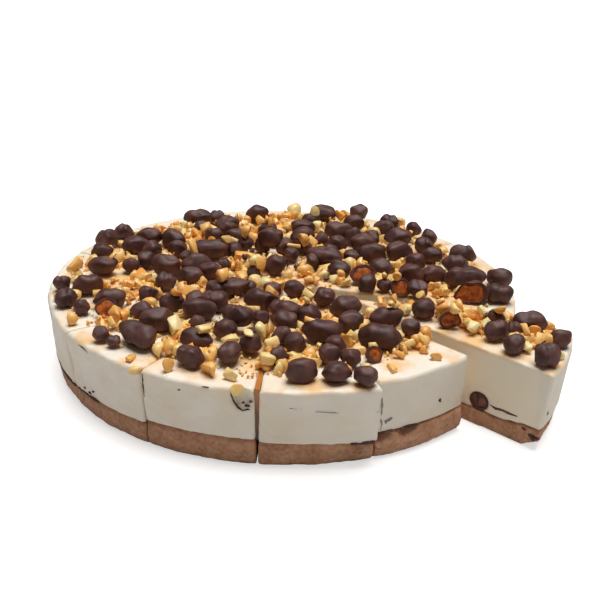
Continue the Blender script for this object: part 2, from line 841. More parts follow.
@dataclass(frozen=True)
class RoastedPeanut:
    """Chopped roasted peanut: toasted, golden or pale by the piece, now and then greenish, slightly oily."""

    toasted: str = "#F0A248"
    golden: str = "#F8BC66"
    light: str = "#FBD68C"
    pale: str = "#F8E4A8"
    green: str = "#E0DA98"
    mottle_mm: float = 2.6
    grain_mm: float = 1.2
    roughness: float = 0.34
    glow: float = 0.30

    def build(self) -> Material:
        """Makes the nut, whose pieces differ in colour by their own tone and a soft mottle.

        Returns:
            The material.
        """
        paint = Paint("chopped roasted peanut")
        places = (0.10, 0.36, 0.58, 0.82, 0.94)
        stops = zip(places, (self.toasted, self.golden, self.light, self.pale, self.green))
        blend = paint.mix(0.34, paint.carried("tone"), paint.noise(self.mottle_mm, 3.0))
        return paint.finish(
            {
                "Base Color": paint.ramp(blend, *stops),
                "Normal": paint.bump(paint.noise(self.grain_mm, 3.0), 0.30, 0.0005),
                "Roughness": self.roughness,
                "Subsurface Weight": self.glow,
                "Subsurface Radius": (1.0, 0.6, 0.25),
                "Subsurface Scale": 0.0015,
            }
        )


@dataclass
class Layers:
    """The set cream and the biscuit base of each slice, as closed blocks that meet with a hair's gap."""

    plan: CakePlan
    voxel: float = 0.0012
    arc_steps: int = 20
    rim_wobble: float = 0.0008
    top_swell: float = 0.00035
    crumb_relief: float = 0.00036
    knife_drag: float = 0.0035
    cut_tint: float = 0.0016
    crumb_face: float = 0.0012
    dent_azimuth: float = -7.6

    def section_block(self, name: str, outline: list[tuple[float, float]]) -> Object:
        """Spins a side view through one slice's angle into a closed block.

        Args:
            name: The piece's name.
            outline: Radius and height of each corner of the side view.

        Returns:
            The block, from azimuth 0.
        """
        deselect_all()
        bpy.ops.mesh.primitive_circle_add(vertices=len(outline), radius=CAKE_RADIUS, fill_type="NGON")
        obj = bpy.context.object
        obj.name = name
        for vert, (radius, height) in zip(obj.data.vertices, outline):
            vert.co = (0.0, -radius, height)
        with editing():
            bpy.ops.mesh.spin(
                steps=self.arc_steps,
                angle=math.radians(SLICE_ANGLE),
                center=(0, 0, 0),
                axis=(0, 0, 1),
                use_auto_merge=False,
            )
            bpy.ops.mesh.select_all(action="SELECT")
            bpy.ops.mesh.remove_doubles(threshold=WELD)
        return obj

    @staticmethod
    def place(obj: Object, piece: Slice, start: float, end: float) -> None:
        """Opens a spun block's cuts, lets each side reach as far as it does, and sets the block in its slot.

        Args:
            obj: The spun block.
            piece: The slice that it belongs to.
            start: Reach of the outer side at the first cut, as a share of the radius.
            end: Reach at the last cut.
        """
        points = points_of(obj.data)
        radius = np.hypot(points[:, 0], points[:, 1])
        across = np.abs(np.degrees(np.arctan2(points[:, 0], -points[:, 1]))) / SLICE_ANGLE
        across = np.where(radius > WELD, across, 0.5)
        share = np.minimum(1.0, points[:, 2] / CAKE_HEIGHT)
        first = piece.start + piece.open_start * share
        last = piece.start + SLICE_ANGLE - piece.open_end * share
        azimuth = np.radians(first + (last - first) * across)
        reach = np.where(radius > BISCUIT_RISE_END + WELD, start + (end - start) * across, 1.0)
        points[:, 0] = radius * reach * np.sin(azimuth) + piece.shift.x
        points[:, 1] = -radius * reach * np.cos(azimuth) + piece.shift.y
        set_points(obj.data, points)

    def finish_block(self, obj: Object) -> None:
        """Gives a block an even net of small faces, with its edges as soft as food has them."""
        apply_modifier(obj, "REMESH", mode="VOXEL", voxel_size=self.voxel, use_smooth_shade=True)
        apply_modifier(obj, "SMOOTH", factor=0.5, iterations=3)

    @staticmethod
    def local(points: np.ndarray, piece: Slice) -> tuple[np.ndarray, np.ndarray, np.ndarray]:
        """Azimuth, radius and distance to the nearer cut of each point, as in the uncut cake.

        Args:
            points: Points from the cake's axis.
            piece: The slice.

        Returns:
            Azimuths in degrees, radii, and distances to the nearer cut.
        """
        x = points[:, 0] - piece.shift.x
        y = points[:, 1] - piece.shift.y
        radius = np.hypot(x, y)
        azimuth = np.degrees(np.arctan2(x, -y))
        azimuth = piece.middle + (azimuth - piece.middle + 180) % 360 - 180
        share = np.minimum(1.0, points[:, 2] / CAKE_HEIGHT)
        to_first = azimuth - (piece.start + piece.open_start * share)
        to_last = piece.start + SLICE_ANGLE - piece.open_end * share - azimuth
        nearest = radius * np.sin(np.radians(np.minimum(np.abs(to_first), np.abs(to_last))))
        return azimuth, radius, nearest

    def cream(self, piece: Slice, finish: Material) -> None:
        """Builds one slice's block of set cream, with a wavy rim and knife marks beside its cuts.

        Args:
            piece: The slice.
            finish: The cream's material.
        """
        outline = [
            (0.0, CAKE_HEIGHT),
            (CAKE_RADIUS - RIM_ROUND, CAKE_HEIGHT),
            (CAKE_RADIUS, CAKE_HEIGHT - RIM_ROUND),
            (CREAM_FOOT_RADIUS, piece.biscuit + PIECE_GAP),
            (BISCUIT_RISE_END, piece.biscuit + PIECE_GAP),
            (BISCUIT_RISE_START, BISCUIT_MIDDLE + PIECE_GAP),
            (0.0, BISCUIT_MIDDLE + PIECE_GAP),
        ]
        obj = self.section_block(f"set_cream_{piece.number:02d}", outline)
        self.place(obj, piece, piece.reach_start, piece.reach_end)
        if piece.number == DRAWN_SLICE:
            self.hollow(obj, HalfCaramel.centre(piece), HalfCaramel.room, piece.start - 90)
        if piece.number == SLICE_COUNT:
            dent = polar(self.dent_azimuth, CAKE_RADIUS * 1.005, 0.038) + piece.shift
            self.hollow(obj, dent, Vector((0.0110, 0.0085, 0.0130)), self.dent_azimuth)
        self.finish_block(obj)
        points = points_of(obj.data)
        _, radius, nearest = self.local(points, piece)
        outer = share_between(radius / CAKE_RADIUS, 0.93, 0.05)
        top = share_between(points[:, 2], 0.040, 0.003)
        moved = points.copy()
        for row, (place, rim, up, near) in enumerate(zip(points, outer, top, nearest)):
            spot = Vector(place)
            wobble = noise.noise(Vector((spot.x * 95, spot.y * 95, spot.z * 60 + piece.number)))
            fine = noise.noise(spot * 420)
            outward = Vector((spot.x, spot.y, 0)).normalized()
            step = outward * (self.rim_wobble * (wobble + 0.35 * fine) * rim)
            step.z = self.top_swell * up * (noise.noise(spot * 60) + 0.5 * noise.noise(spot * 170))
            # Cream drags along with the knife, so its upper edge is a little torn beside a cut
            if up > 0 and near < self.knife_drag:
                step.z -= 0.0005 * up * (1 - near / self.knife_drag) * abs(noise.noise(spot * 260))
            moved[row] += step
        set_points(obj.data, moved)
        cut = np.clip(1.0 - nearest / self.cut_tint, 0, 1) * (1 - outer) * (1 - 0.7 * top)
        write_attribute(obj.data, "cut", cut)
        write_attribute(obj.data, "heap", np.clip((0.88 * CAKE_RADIUS - radius) / 0.015, 0, 1))
        self.hand_over(obj, finish, f"cream_{piece.number:02d}")

    @staticmethod
    def hollow(obj: Object, centre: Vector, size: Vector, azimuth: float) -> None:
        """Takes a rounded hollow out of a block.

        Args:
            obj: The block.
            centre: The hollow's middle.
            size: Its length, width and height.
            azimuth: The direction of its length.
        """
        deselect_all()
        bpy.ops.mesh.primitive_ico_sphere_add(
            subdivisions=3, radius=0.5, location=centre, scale=size, rotation=(0, 0, math.radians(azimuth))
        )
        cutter = bpy.context.object
        apply_modifier(obj, "BOOLEAN", operation="DIFFERENCE", object=cutter, solver="MANIFOLD")
        bpy.data.objects.remove(cutter)

    def biscuit(self, piece: Slice, finish: Material) -> None:
        """Builds one slice's biscuit base, of crumbs that stand out, with a worn foot.

        Args:
            piece: The slice.
            finish: The biscuit's material.
        """
        foot = BISCUIT_FOOT_RADIUS * piece.foot_reach
        outline = [
            (0.0, BISCUIT_MIDDLE),
            (BISCUIT_RISE_START, BISCUIT_MIDDLE),
            (BISCUIT_RISE_END, piece.biscuit),
            (BISCUIT_RADIUS - RIM_ROUND, piece.biscuit),
            (BISCUIT_RADIUS, piece.biscuit - RIM_ROUND),
            (BISCUIT_RADIUS, piece.biscuit * 0.45),
            (foot, FOOT_ROUND),
            (foot - FOOT_ROUND, 0.0),
            (0.0, 0.0),
        ]
        obj = self.section_block(f"biscuit_base_{piece.number:02d}", outline)
        self.place(obj, piece, piece.base_start, piece.base_end)
        self.finish_block(obj)
        points = points_of(obj.data)
        azimuth, radius, nearest = self.local(points, piece)
        moved = points.copy()
        for row, (place, angle, reach, near) in enumerate(zip(points, azimuth, radius, nearest)):
            spot = Vector(place)
            side = min(1.0, max(0.0, (reach / CAKE_RADIUS - 0.90) / 0.04))
            open_face = max(side, 1.0 if near < self.crumb_face else 0.0)
            rough = noise.noise(spot * 330) + 0.6 * noise.noise(spot * 760)
            wave = noise.noise(Vector((spot.x * 70, spot.y * 70, 5.0 + piece.number)))
            outward = Vector((spot.x, spot.y, 0)).normalized()
            step = outward * (self.crumb_relief * rough * open_face + 0.0007 * wave * side)
            if place[2] > 0.5 * piece.biscuit and side > 0:
                fallen = self.sunken_rim(angle)
                step.z = -0.0004 * side * abs(noise.noise(spot * 240)) - 0.0022 * side * fallen
                worn = min(1.0, max(0.0, (place[2] / piece.biscuit - 0.7) / 0.3))
                step -= outward * (0.0030 * side * worn * fallen)
            moved[row] += step
        moved[:, 2] = np.maximum(moved[:, 2], 0.0)
        set_points(obj.data, moved)
        self.hand_over(obj, finish, f"biscuit_{piece.number:02d}")

    @staticmethod
    def sunken_rim(azimuth: float) -> float:
        """How far the crumb falls away under the cream at an azimuth, from 0 to 1."""
        return max(math.exp(-(((azimuth - spot) / 2.4) ** 2)) for spot in (17.5, 22.5, 29.0, -30.5, -49.0))

    def hand_over(self, obj: Object, finish: Material, node: str) -> None:
        """Sets a finished block on the cake's axis, dresses it and puts it in its node's place.

        Args:
            obj: The block.
            finish: Its material.
            node: The CAD node that it stands for.
        """
        obj.data.transform(Matrix.Translation(self.plan.axis))
        dress(obj, finish)
        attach(obj, "root")
        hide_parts(node)
        LOG.info("%s: %d faces", obj.name, len(obj.data.polygons))


@dataclass
class Shape:
    """One modelled shape that is copied: its points and its faces."""

    points: np.ndarray
    faces: list[tuple[int, ...]]


class Gathered:
    """Many copies of a few shapes, gathered into one piece."""

    def __init__(self, name: str) -> None:
        """Starts a piece of this name with nothing in it.

        Args:
            name: The piece's name.
        """
        self.name = name
        self.points: list[np.ndarray] = []
        self.faces: list[tuple[int, ...]] = []
        self.tones: list[float] = []
        self.count = 0
        self.copies = 0

    def add(self, shape: Shape, points: np.ndarray, tone: float) -> None:
        """Adds one copy of a shape.

        Args:
            shape: The shape.
            points: Where the copy's points are.
            tone: Its colour tone, from 0 to 1.
        """
        self.points.append(points)
        self.faces.extend(tuple(corner + self.count for corner in face) for face in shape.faces)
        self.tones.extend([tone] * len(shape.faces))
        self.count += len(points)
        self.copies += 1

    def finish(self, axis: Vector, material: Material, slot: str, smooth: float) -> Object:
        """Makes the piece.

        Args:
            axis: The foot of the cake's axis.
            material: The piece's material.
            slot: The record's material slot.
            smooth: The largest angle in degrees that still shades smooth.

        Returns:
            The piece.
        """
        mesh = bpy.data.meshes.new(self.name)
        mesh.from_pydata((np.vstack(self.points) + np.array(axis)).tolist(), [], self.faces)
        mesh.validate()
        write_attribute(mesh, "tone", np.array(self.tones), "FACE")
        mesh.materials.append(material)
        obj = link_new(self.name, mesh)
        select_only(obj)
        bpy.ops.object.shade_smooth_by_angle(angle=math.radians(smooth))
        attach(obj, "root")
        LOG.info("%s: %d copies, %d faces", self.name, self.copies, len(mesh.polygons))
        return obj


def take_shape(obj: Object) -> Shape:
    """Keeps a modelled object's mesh as a shape to copy, and removes the object.

    Args:
        obj: The object.

    Returns:
        The shape.
    """
    shape = Shape(points_of(obj.data), [tuple(face.vertices) for face in obj.data.polygons])
    bpy.data.objects.remove(obj)
    return shape


def open_with_knife(obj: Object, through: Vector, facing: Vector, shell: float) -> None:
    """Cuts a caramel through, and draws its filling, the second material, back in a ring of chocolate.

    Args:
        obj: The caramel.
        through: A point of the cut.
        facing: The way the cut face looks.
        shell: How thick the chocolate is.
    """
    select_only(obj)
    bpy.ops.object.mode_set(mode="EDIT")
    bpy.ops.mesh.select_all(action="SELECT")
    bpy.ops.mesh.bisect(plane_co=through, plane_no=facing, use_fill=True, clear_outer=True)
    bpy.ops.object.mode_set(mode="OBJECT")
    rim = [vert.co.copy() for vert in obj.data.vertices if vert.select]
    centre = sum(rim, Vector()) / len(rim)
    reach = sum((point - centre).length for point in rim) / len(rim)
    bpy.ops.object.mode_set(mode="EDIT")
    for share, push in ((1 - shell / reach, 0.0), (0.97, -0.0007), (0.70, 0.0003), (0.45, -0.0005)):
        bpy.ops.mesh.extrude_region_move(TRANSFORM_OT_translate={"value": facing * push})
        bpy.ops.transform.resize(value=(share, share, share), center_override=centre)
    for _ in range(3):
        bpy.ops.mesh.select_more()
    obj.active_material_index = 1
    bpy.ops.object.material_slot_assign()
    bpy.ops.mesh.select_all(action="SELECT")
    bpy.ops.mesh.normals_make_consistent(inside=False)
    bpy.ops.object.mode_set(mode="OBJECT")


@dataclass
class CoatedCaramels:
    """The whole coated caramels, and those that the knife went through."""

    plan: CakePlan
    uneven: float = 0.19
    waist: float = 0.11
    foot: float = 0.43
    shell: float = 0.0011
    fullness: float = 0.14
    bumps: float = 0.014
    flattening: float = 0.70

    @staticmethod
    def ball() -> Shape:
        """Models the round start of every caramel, 1 across and of 1280 faces.

        Returns:
            The ball.
        """
        deselect_all()
        bpy.ops.mesh.primitive_ico_sphere_add(subdivisions=4, radius=0.5)
        return take_shape(bpy.context.object)

    def formed(self, item: Chocolate, ball: Shape) -> np.ndarray:
        """Shapes one caramel: the solid's own form, with finer bumps and dimples.

        Args:
            item: The caramel's place and size.
            ball: The ball to shape.

        Returns:
            Its points, from the cake's axis.
        """
        offset = Vector((item.azimuth, item.radius * 50, 3.7))
        slim_at = self.waist if item.length > 1.5 * item.width else 0.0
        draw = random.Random(round(item.azimuth * 17 + item.radius * 50000))
        twin_at = draw.uniform(-0.14, 0.14)
        twin = draw.choice((0.0, 0.0, 0.0, 0.14))
        facets = []
        for _ in range(4):
            normal = Vector((draw.gauss(0, 1), draw.gauss(0, 1), draw.gauss(0, 0.8))).normalized()
            facets.append((normal, draw.uniform(0.36, 0.45)))
        turn = Matrix.Rotation(math.radians(item.turn), 3, "Z")
        size = Vector((item.length, item.width, item.height))
        middle = Vector((0, 0, self.foot * size.z))
        dimples = self.dimples(item)
        points = np.empty_like(ball.points)
        for row, start in enumerate(ball.points):
            point = Vector(start)
            bumps = self.bumps * noise.noise(point * 6.5 + offset)
            press = sum(deep * math.exp(-((point - at) / wide).length_squared) for at, wide, deep in dimples)
            x, y, z = start
            full = 1.0 + self.fullness * (abs(x * y) + abs(y * z) + abs(x * z))
            point *= full + self.uneven * noise.noise(point * 2.6 + offset) + bumps - press
            for normal, limit in facets:
                over = point.dot(normal) - limit
                if over > 0:
                    point -= normal * (self.flattening * over)
            slim = 1.0 - slim_at * math.exp(-((point.x / self.waist) ** 2))
            slim -= twin * math.exp(-(((point.x - twin_at) / 0.11) ** 2))
            point.y *= slim
            point.z = max(point.z * slim, -self.foot)
            placed = Vector((point.x * size.x, point.y * size.y, point.z * size.z)) + middle
            points[row] = turn @ placed + item.foot
        return points

    @staticmethod
    def dimples(item: Chocolate) -> list[tuple[Vector, float, float]]:
        """Where a caramel was pressed by others in the pan.

        Args:
            item: The caramel.

        Returns:
            Place on the ball, width and depth of each dimple.
        """
        draw = random.Random(round(item.azimuth * 31 + item.radius * 90000))
        found = []
        for _ in range(draw.randint(1, 3)):
            at = Vector((draw.gauss(0, 1), draw.gauss(0, 1), draw.uniform(-0.2, 1.2))).normalized() * 0.5
            found.append((at, draw.uniform(0.16, 0.28), draw.uniform(0.03, 0.08)))
        if item.length > 0.015:
            found.append((Vector((draw.uniform(-0.25, 0.25), draw.uniform(-0.2, 0.1), 0.46)), 0.20, 0.11))
        return found

    def build(self, chocolate: Material, caramel: Material) -> None:
        """Builds the whole caramels as one piece and each cut one as another.

        Args:
            chocolate: The coating.
            caramel: The filling.
        """
        ball = self.ball()
        whole = Gathered("coated_caramels")
        for item in self.plan.chocolates:
            key = (item.azimuth, round(item.radius * 1000, 1))
            if key in CUT_CARAMELS and item.lift == 0:
                self.cut_open(item, ball, Vector(CUT_CARAMELS[key]).normalized(), (chocolate, caramel))
            else:
                whole.add(ball, self.formed(item, ball), 0.0)
        heap = whole.finish(self.plan.axis, chocolate, "chocolate", 60)
        nodes = [f"topping_{piece.number:02d}" for piece in self.plan.slices]
        for number, count in CLEAR_OF_HEAP.items():
            nodes += [f"chocolate_{number:02d}_{order}" for order in range(1, count + 1)]
        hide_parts(*nodes)

    def cut_open(self, item: Chocolate, ball: Shape, facing: Vector, finishes: tuple[Material, ...]) -> None:
        """Builds one caramel that the knife went through, with its filling in a ring of chocolate.

        Args:
            item: The caramel's place and size.
            ball: The ball to shape.
            facing: The way the cut face looks.
            finishes: The coating and the filling.
        """
        name = f"cut_caramel_{item.slice.number:02d}_{abs(round(item.azimuth))}"
        mesh = bpy.data.meshes.new(name)
        mesh.from_pydata((self.formed(item, ball) + np.array(self.plan.axis)).tolist(), [], ball.faces)
        obj = link_new(name, mesh)
        dress(obj, *finishes)
        middle = item.foot + self.plan.axis + Vector((0, 0, item.height * 0.42))
        open_with_knife(obj, middle + facing * 0.0006, facing, self.shell)
        bpy.ops.object.shade_smooth_by_angle(angle=SMOOTH_EDGE)
        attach(obj, "root")
        LOG.info("%s: %d faces", name, len(mesh.polygons))


@dataclass
class HalfCaramel:
    """The half caramel that the knife left in the drawn slice's cut face."""

    plan: CakePlan
    reach = 0.091
    height = 0.0138
    size = Vector((0.0115, 0.0070, 0.0100))
    room = Vector((0.0121, 0.0076, 0.0106))

    @classmethod
    def centre(cls, piece: Slice) -> Vector:
        """The middle of its cut face, from the cake's axis."""
        return polar(piece.start, cls.reach, cls.height) + piece.shift

    def build(self, chocolate: Material, filling: Material) -> None:
        """Builds the half caramel, flat where it was cut.

        Args:
            chocolate: The coating.
            filling: The dull caramel inside.
        """
        piece = self.plan.slices[DRAWN_SLICE - 1]
        middle = self.centre(piece) + self.plan.axis
        turn = math.radians(piece.start - 90)
        deselect_all()
        bpy.ops.mesh.primitive_ico_sphere_add(
            subdivisions=4, radius=0.5, location=middle, scale=self.size, rotation=(0, 0, turn)
        )
        obj = bpy.context.object
        obj.name = "half_caramel"
        bpy.ops.object.transform_apply(location=True, rotation=True, scale=True)
        inwards = polar(piece.start + 90, 1.0)
        dress(obj, chocolate, filling)
        open_with_knife(obj, middle + inwards * 0.0004, -inwards, 0.0012)
        bpy.ops.object.shade_smooth_by_angle(angle=SMOOTH_EDGE)
        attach(obj, "root")
        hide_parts("half_chocolate_03")
        LOG.info("half_caramel: %d faces", len(obj.data.polygons))


class Ground:
    """How high the heap stands at each place, so that what falls on it comes to rest on something."""

    cell = 0.0005
    half = 0.180

    def __init__(self, plan: CakePlan) -> None:
        """Lays the plan's cream tops and caramels on the map. Beside the cake it is below zero.

        Args:
            plan: The cake's plan.
        """
        count = int(2 * self.half / self.cell)
        axis = (np.arange(count) + 0.5) * self.cell - self.half
        self.x, self.y = np.meshgrid(axis, axis)
        drawn = plan.slices[DRAWN_SLICE - 1]
        self.height = np.where(np.hypot(self.x, self.y) < BED_REACH, CAKE_HEIGHT, -1.0)
        self.height[self.within(drawn, Vector((0, 0, 0)))] = -1.0
        self.height[self.within(drawn, drawn.shift)] = CAKE_HEIGHT
        for item in plan.chocolates:
            angle = math.radians(item.turn)
            x = self.x - item.foot.x
            y = self.y - item.foot.y
            along = (x * math.cos(angle) + y * math.sin(angle)) / (item.length / 2)
            beside = (-x * math.sin(angle) + y * math.cos(angle)) / (item.width / 2)
            room = 1.0 - along**2 - beside**2
            top = item.foot.z + item.height * (0.43 + 0.5 * np.sqrt(np.maximum(room, 0)))
            self.height = np.where(room > 0, np.maximum(self.height, top), self.height)

    def within(self, piece: Slice, shift: Vector) -> np.ndarray:
        """Which cells lie on a slice that has been shifted by this much.

        Args:
            piece: The slice.
            shift: How far it lies from its slot.

        Returns:
            A mask of the cells.
        """
        x = self.x - shift.x
        y = self.y - shift.y
        offset = (np.degrees(np.arctan2(x, -y)) - piece.middle + 180) % 360 - 180
        return (np.abs(offset) < SLICE_ANGLE / 2) & (np.hypot(x, y) < BED_REACH)

    def patch(self, x: float, y: float, radius: float) -> tuple[slice, slice, np.ndarray]:
        """The cells of a round patch.

        Args:
            x: The patch's middle.
            y: The patch's middle.
            radius: Its radius.

        Returns:
            The rows, the columns, and which of their cells lie in the patch.
        """
        row = int((y + self.half) / self.cell)
        column = int((x + self.half) / self.cell)
        reach = max(1, int(radius / self.cell))
        rows = slice(row - reach, row + reach + 1)
        columns = slice(column - reach, column + reach + 1)
        inside = (self.x[rows, columns] - x) ** 2 + (self.y[rows, columns] - y) ** 2 <= radius**2
        return rows, columns, inside

    def rest(self, x: float, y: float, radius: float) -> tuple[float, Vector, float] | None:
        """Where something of this radius comes to rest.

        Args:
            x: Its middle.
            y: Its middle.
            radius: Its radius.

        Returns:
            The height that it rests at, the slope's normal and how uneven the ground is, or None beside it.
        """
        rows, columns, inside = self.patch(x, y, radius)
        found = self.height[rows, columns]
        if found.shape != inside.shape or not inside.any() or found[inside].min() < 0:
            return None
        heights = found[inside]
        dx = self.x[rows, columns][inside] - x
        dy = self.y[rows, columns][inside] - y
        spread = (dx * dx).sum() + 1e-12
        slope_x = (dx * heights).sum() / spread
        slope_y = (dy * heights).sum() / spread
        normal = Vector((-slope_x, -slope_y, 1.0)).normalized()
        return float(np.percentile(heights, 62)), normal, float(heights.max() - heights.min())

    def pile(self, x: float, y: float, radius: float, top: float) -> None:
        """Raises the map where something has come to rest.

        Args:
            x: Its middle.
            y: Its middle.
            radius: Its radius.
            top: How high it reaches.
        """
        rows, columns, inside = self.patch(x, y, radius)
        found = self.height[rows, columns]
        found[inside] = np.maximum(found[inside], top)


@dataclass
class ChoppedPeanuts:
    """The chopped peanuts and the finer crumbs that lie among the caramels."""

    plan: CakePlan
    ground: Ground
    chips_a_slice: int = 30
    crumbs_a_slice: int = 150
    shards_a_slice: int = 5
    heap_lengths: tuple[float, float] = (0.0045, 0.0078)
    chip_lengths: tuple[float, float, float] = (0.0040, 0.0100, 0.0062)
    crumb_lengths: tuple[float, float] = (0.0010, 0.0028)
    shard_lengths: tuple[float, float] = (0.0022, 0.0046)
    footprint: float = 0.36
    unevenness: float = 1.1
    sunk: float = 0.10
    lean: float = 0.35
    seed: int = 61

    def chip(self, number: int, cut: Cut) -> Shape:
        """Models one chip of a nut, with its edges a little rounded.

        Args:
            number: Which chip, for its seeded shape.
            cut: How the nut was chopped.

        Returns:
            The chip, 1 long and of a few dozen faces.
        """
        draw = random.Random(self.seed * 100 + number)
        deselect_all()
        if cut is Cut.HALF:
            bpy.ops.mesh.primitive_ico_sphere_add(subdivisions=2, radius=0.5)
            size = (1.0, draw.uniform(0.75, 0.95), draw.uniform(0.75, 0.95))
            depth = 0.05
        elif cut is Cut.BLOCK:
            bpy.ops.mesh.primitive_cube_add(size=1.0)
            size = (1.0, draw.uniform(0.62, 0.88), draw.uniform(0.48, 0.74))
            depth = draw.uniform(0.16, 0.30)
        else:
            bpy.ops.mesh.primitive_cube_add(size=1.0)
            size = (1.0, draw.uniform(0.36, 0.48), draw.uniform(0.26, 0.38))
            depth = 0.36
        obj = bpy.context.object
        normal = Vector((draw.gauss(0, 1), draw.gauss(0, 1), draw.gauss(0, 1))).normalized()
        with editing():
            bpy.ops.transform.resize(value=size)
            bpy.ops.mesh.bisect(plane_co=normal * depth, plane_no=normal, use_fill=True, clear_outer=True)
        apply_modifier(obj, "BEVEL", width=0.17 * min(size[1:]), segments=1, angle_limit=math.radians(35))
        shape = take_shape(obj)
        apart = Vector((number, 0, 0))
        for row, start in enumerate(shape.points):
            shape.points[row] += 0.16 * np.array(noise.noise_vector(Vector(start) * 1.6 + apart))
        low, high = shape.points.min(0), shape.points.max(0)
        shape.points = (shape.points - (low + high) / 2) / (high - low).max()
        return shape

    def set_down(
        self,
        gathered: Gathered,
        shape: Shape,
        place: tuple[float, float],
        length: float,
        draw: random.Random,
        limit: float,
        tone: float | None = None,
    ) -> bool:
        """Lets one chip come to rest on what lies below it, if the ground is even enough.

        Args:
            gathered: The piece that takes the chip.
            shape: The chip.
            place: Where it falls, from the cake's axis.
            length: Its length.
            draw: The seeded source of variation.
            limit: How high above the cream it may rest.
            tone: Its colour tone, or None for one at random.

        Returns:
            Whether it came to rest.
        """
        x, y = place
        found = self.ground.rest(x, y, self.footprint * length)
        if found is None:
            return False
        height, normal, uneven = found
        if height > CAKE_HEIGHT + limit or uneven > self.unevenness * length:
            return False
        thick = length * draw.uniform(0.8, 1.05)
        upright = Vector((0, 0, 1))
        tilt = upright.rotation_difference(normal.lerp(upright, 0.35)).to_matrix()
        lean = Matrix.Rotation(draw.uniform(-self.lean, self.lean), 3, "X")
        lean = lean @ Matrix.Rotation(draw.uniform(-self.lean, self.lean), 3, "Y")
        spin = Matrix.Rotation(draw.uniform(0, math.tau), 3, "Z")
        matrix = tilt @ lean @ spin @ Matrix.Diagonal((length, length, thick))
        points = shape.points @ np.array(matrix).T
        points += np.array((x, y, height - points[:, 2].min() - self.sunk * length))
        if points[:, 2].max() > HEAP_TOP:
            return False
        drawn_tone = min(draw.random(), draw.random() + 0.15)
        gathered.add(shape, points, drawn_tone if tone is None else tone)
        self.ground.pile(x, y, 0.34 * length, float(points[:, 2].max()) - 0.15 * length)
        return True

    @staticmethod
    def spot(piece: Slice, draw: random.Random, spread: float) -> tuple[float, float]:
        """A place on a slice's bed.

        Args:
            piece: The slice.
            draw: The seeded source of variation.
            spread: The share of the bed's reach.

        Returns:
            The place's X and Y from the cake's axis.
        """
        across = draw.uniform(0.24 if piece.number == DRAWN_SLICE else 0.02, 0.98)
        reach = (piece.bed_start + (piece.bed_end - piece.bed_start) * across) * spread
        radius = CAKE_RADIUS * reach * math.sqrt(draw.uniform(0.01, 1.0))
        place = polar(piece.start + across * SLICE_ANGLE, radius) + piece.shift
        return place.x, place.y

    def slice_at(self, azimuth: float) -> Slice:
        """The slice that an azimuth falls on."""
        return self.plan.slices[int((azimuth - FIRST_CUT) % 360 // SLICE_ANGLE)]

    def build(self, peanut: Material, chocolate: Material) -> None:
        """Builds the chips and the nut crumbs of peanut, and the crumbs and smears of chocolate.

        Args:
            peanut: The nuts' material.
            chocolate: The chocolate's material.
        """
        # Blender seeds its noise vectors by the clock unless it is told otherwise
        noise.seed_set(self.seed)
        draw = random.Random(self.seed)
        kinds = [Cut.BLOCK, Cut.HALF, Cut.HALF, Cut.SPLINTER, Cut.BLOCK, Cut.HALF, Cut.BLOCK, Cut.HALF]
        kinds.append(Cut.SPLINTER)
        chips = [self.chip(number, kind) for number, kind in enumerate(kinds)]
        gathered = Gathered("chopped_peanuts")
        for azimuth, radius, length, tone in MARKED_NUTS:
            place = polar(azimuth, radius / 1000) + self.slice_at(azimuth).shift
            self.set_down(gathered, draw.choice(chips), place.xy, length / 1000, draw, 0.010, tone)
        for azimuth, radius, reach, count in NUT_HEAPS:
            middle = polar(azimuth, radius / 1000) + self.slice_at(azimuth).shift
            for _ in range(count):
                place = middle + polar(draw.uniform(0, 360), draw.uniform(0.2, 1.0) * reach / 1000)
                chip = draw.choice(chips)
                self.set_down(gathered, chip, place.xy, draw.uniform(*self.heap_lengths), draw, 0.0145)
        for piece in self.plan.slices:
            wanted = self.chips_a_slice * (2 if piece.number in CHOCOLATES_ON_NUTTY_SLICES else 1)
            for _ in range(self.chips_a_slice * 12):
                length = draw.triangular(*self.chip_lengths)
                limit = 0.0034 if draw.random() < 0.88 else 0.011
                chip = draw.choice(chips)
                wanted -= self.set_down(gathered, chip, self.spot(piece, draw, 0.96), length, draw, limit)
                if wanted == 0:
                    break
        crumbs = Gathered("peanut_crumbs")
        shards = Gathered("chocolate_crumbs")
        kinds_of_crumb = (
            (crumbs, self.crumbs_a_slice, 1.0, self.crumb_lengths, 0.005),
            (shards, self.shards_a_slice, 0.96, self.shard_lengths, 0.007),
        )
        for piece in self.plan.slices:
            for target, count, spread, lengths, limit in kinds_of_crumb:
                for _ in range(count):
                    place = self.spot(piece, draw, spread)
                    self.set_down(target, draw.choice(chips), place, draw.uniform(*lengths), draw, limit)
        smears = Gathered("chocolate_smears")
        self.mark_side(shards, SIDE_CRUMBS, 0.0016, chips, draw)
        self.mark_side(gathered, SIDE_NUTS, 0.0070, chips, draw)
        for target, lines, surface, share in (
            (shards, DARK_LINES, self.on_side, 0.8),
            (smears, FAINT_LINES, self.on_side, 0.15),
            (shards, FACE_LINES, self.on_face, 0.5),
        ):
            for width_mm, path in lines:
                width = width_mm / 1000
                places = [surface(*spot) for spot in path]
                target.add(*self.line(places, width, max(0.0005, share * width)), 0.5)
        thin = MilkChocolate("thin chocolate smear", "#857C78", "#A0968E").build()
        gathered.finish(self.plan.axis, peanut, "topping", 70)
        crumbs.finish(self.plan.axis, peanut, "topping", 70)
        shards.finish(self.plan.axis, chocolate, "chocolate", 50)
        smears.finish(self.plan.axis, thin, "chocolate", 50)

